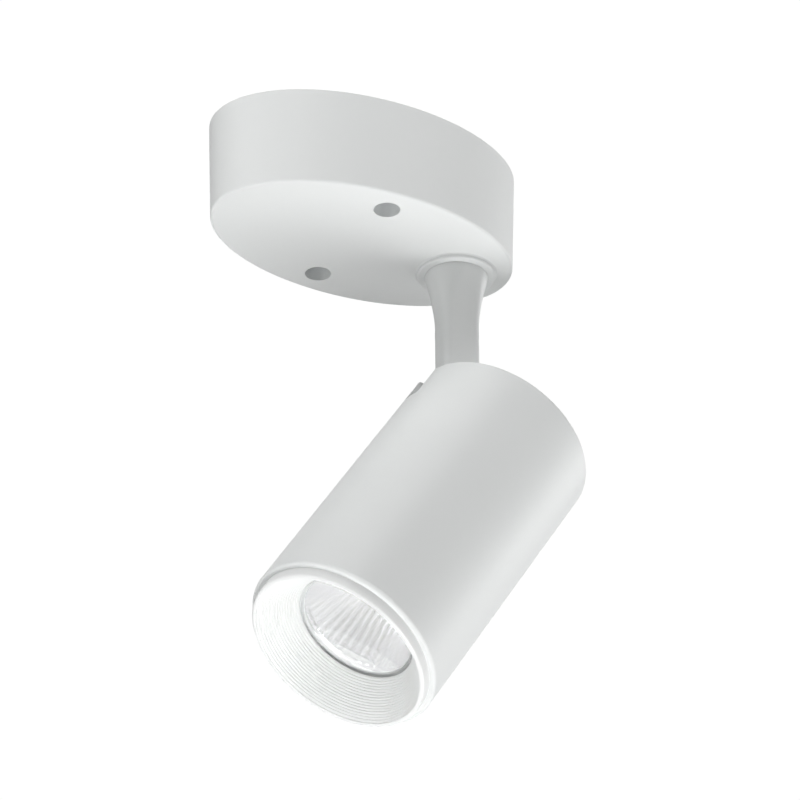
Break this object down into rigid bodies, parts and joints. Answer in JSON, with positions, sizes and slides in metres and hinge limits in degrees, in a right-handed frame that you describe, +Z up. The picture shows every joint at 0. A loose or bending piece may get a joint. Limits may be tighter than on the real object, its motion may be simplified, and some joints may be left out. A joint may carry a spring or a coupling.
{
  "type": "surface mounted ceiling spotlight",
  "caption": "Ceiling spotlight: oval canopy with built-in driver, swivelling stem offset to one end, and a tilting cylindrical lamp head with ribbed anti-glare cone and faceted reflector.",
  "frame": {"origin": "middle of the oval canopy, on the ceiling plane, which is the upper face of the mounting bracket", "axes": "+Z up into the ceiling; +X along the oval's long axis, towards the end that carries the stem; +Y across. The head leans towards -X at rest."},
  "size_m": [0.1235, 0.0634, 0.1859],
  "materials": {
    "white_metal": "satin white powder coat",
    "white_baffle": "satin white",
    "white_plastic": "satin",
    "terminal_plastic": "satin, slightly yellowish",
    "zinc_steel": "zinc plated",
    "spring_steel": "polished",
    "painted_screw": "white painted",
    "brass": "plain",
    "black_rubber": "matt",
    "clear_silicone": "matt translucent",
    "foam": "matt",
    "circuit_board": "satin solder mask",
    "winding": "tape over ferrite",
    "capacitor": "sleeved",
    "wire_grey": "satin",
    "wire_white": "satin",
    "nylon": "satin",
    "cast_aluminium": "as cast",
    "led_board": "white solder mask",
    "phosphor": "smooth",
    "metallised": "vacuum metallised, faceted",
    "clear_glass": "clear, polished"
  },
  "bodies": {
    "canopy": {"canopy_housing": "white_metal", "ceiling_bracket": "zinc_steel", "bracket_grommet": "black_rubber", "canopy_screws": "zinc_steel", "earth_screw": "brass", "driver_pad": "foam", "driver_case": "white_plastic", "driver_lid": "white_plastic", "driver_pcb": "circuit_board", "driver_transformer": "winding", "driver_capacitors": "capacitor", "terminal_block": "terminal_plastic", "terminal_screws": "brass", "terminal_fixing_screw": "zinc_steel", "driver_input_wires": "wire_grey", "driver_output_lead": "wire_white"},
    "arm": {"stem_arm": "white_metal", "swivel_nipple": "zinc_steel", "swivel_friction_washer": "nylon", "swivel_wave_washer": "spring_steel", "swivel_nut": "brass", "swivel_stop_pin": "zinc_steel", "pivot_screws": "zinc_steel", "pivot_washers": "nylon", "arm_lead": "wire_white"},
    "head": {"head_housing": "white_metal", "rear_screws": "painted_screw", "hinge_bracket": "zinc_steel", "hinge_bracket_screws": "zinc_steel", "heat_sink": "cast_aluminium", "thermal_pad": "foam", "led_board": "led_board", "led_emitter": "phosphor", "led_holder": "white_plastic", "led_holder_screws": "zinc_steel", "led_lead": "wire_white", "reflector": "metallised", "front_glass": "clear_glass", "glass_gasket": "clear_silicone", "glass_retainer": "white_plastic", "baffle_ring": "white_baffle", "front_o_ring": "black_rubber"}
  },
  "joints": [
    {"name": "swivel", "type": "hinge", "parent": "canopy", "child": "arm", "pos_m": [0.0332, 0, -0.0333], "axis": [0, 0, 1], "range_deg": [-165, 165]},
    {"name": "tilt", "type": "hinge", "parent": "arm", "child": "head", "pos_m": [0.0332, 0, -0.08455], "axis": [0, 1, 0], "range_deg": [-33.75, 56.25]}
  ]
}
